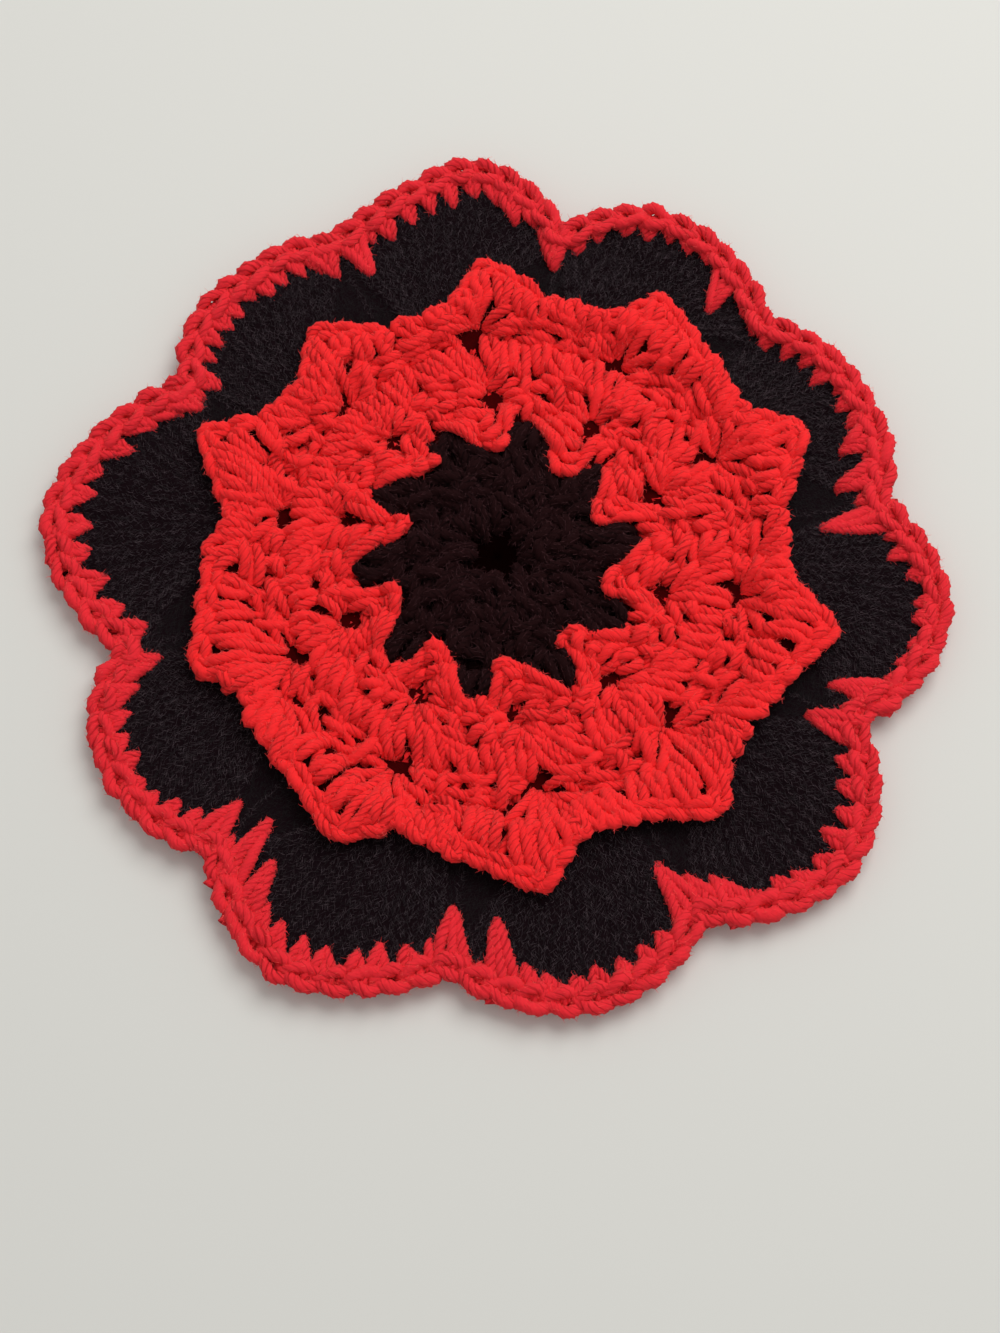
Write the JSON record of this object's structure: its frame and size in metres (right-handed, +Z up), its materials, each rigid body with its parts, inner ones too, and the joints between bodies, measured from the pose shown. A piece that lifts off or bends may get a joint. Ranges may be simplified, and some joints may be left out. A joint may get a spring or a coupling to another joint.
{
  "type": "crocheted flower doily",
  "caption": "Flower-shaped crocheted mat: black centre, red star whose tips lie on black petals, and a red scalloped edging. Lies flat as a table or pot mat.",
  "frame": {"origin": "under the middle of the outline, at the height of the surface that the mat lies on", "axes": "+Z up, out of the right side of the cloth; +Y towards the petal at the top of the picture, +X to its right"},
  "size_m": [0.2046, 0.2068, 0.0095],
  "materials": {
    "red_yarn": "matte, soft plied acrylic yarn with a slight fuzz",
    "black_yarn": "matte, soft plied acrylic yarn with a slight fuzz"
  },
  "bodies": {
    "root": {"centre_round": "black_yarn", "star_round": "red_yarn", "petal_round": "black_yarn", "edging_round": "red_yarn"}
  },
  "joints": []
}
